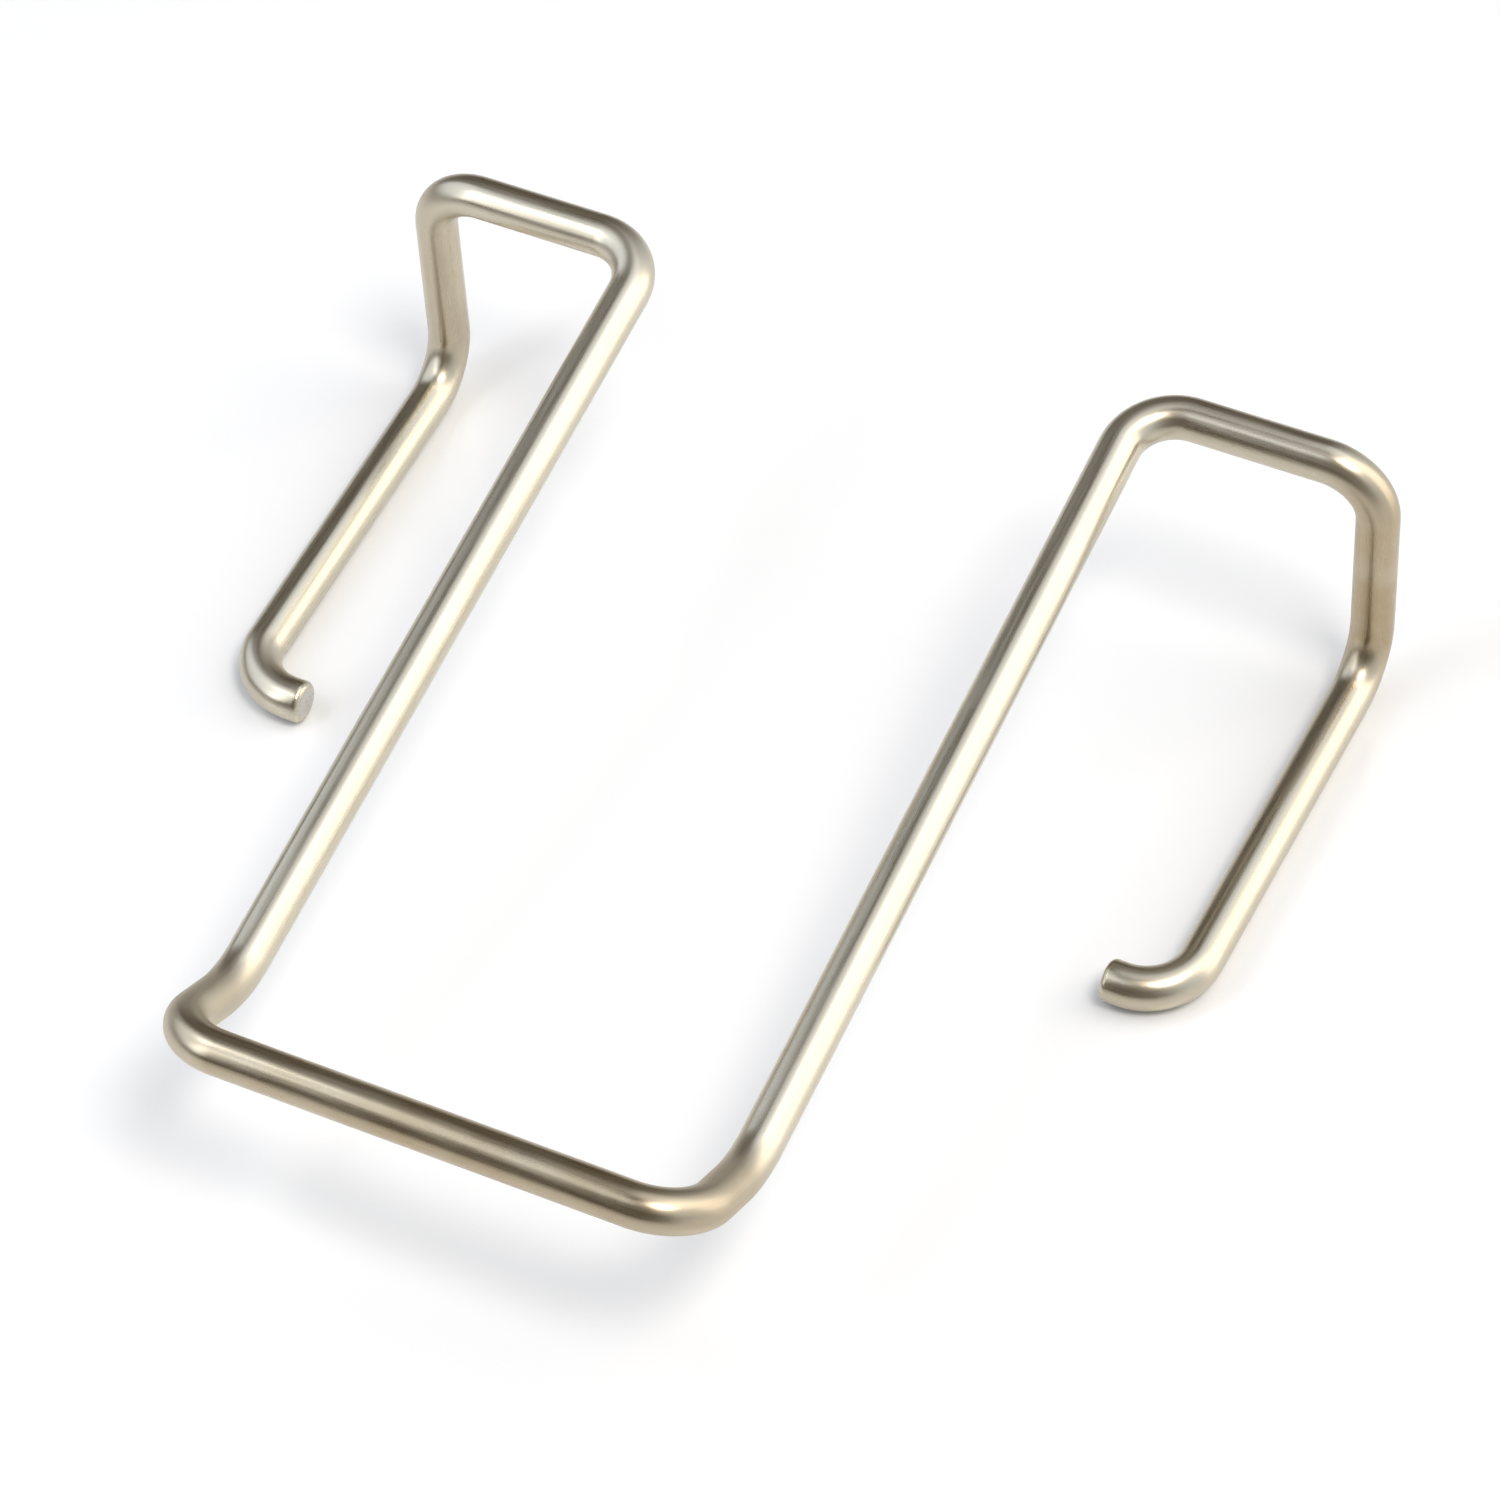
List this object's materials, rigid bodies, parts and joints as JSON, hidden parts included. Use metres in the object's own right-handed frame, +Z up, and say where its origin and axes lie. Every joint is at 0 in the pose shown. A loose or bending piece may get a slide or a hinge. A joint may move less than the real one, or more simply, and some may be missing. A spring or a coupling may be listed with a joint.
{
  "type": "bent wire form",
  "caption": "Open clip bent from one length of round nickel-plated wire: a U with a raised front bar, arms that climb to posts at the back, and feet with short turned-in tips.",
  "frame": {"origin": "middle of the form on the surface under its feet, below the centre of its box", "axes": "+Z up from the surface under the feet, +X across the form to its right, the front bar towards -Y and the posts towards +Y"},
  "size_m": [0.0492, 0.0486, 0.0142],
  "materials": {
    "nickel_wire": "drawn steel wire with a bright warm-toned nickel plate, slightly soft in its reflections"
  },
  "bodies": {
    "root": {"wire_form": "nickel_wire"}
  },
  "joints": []
}
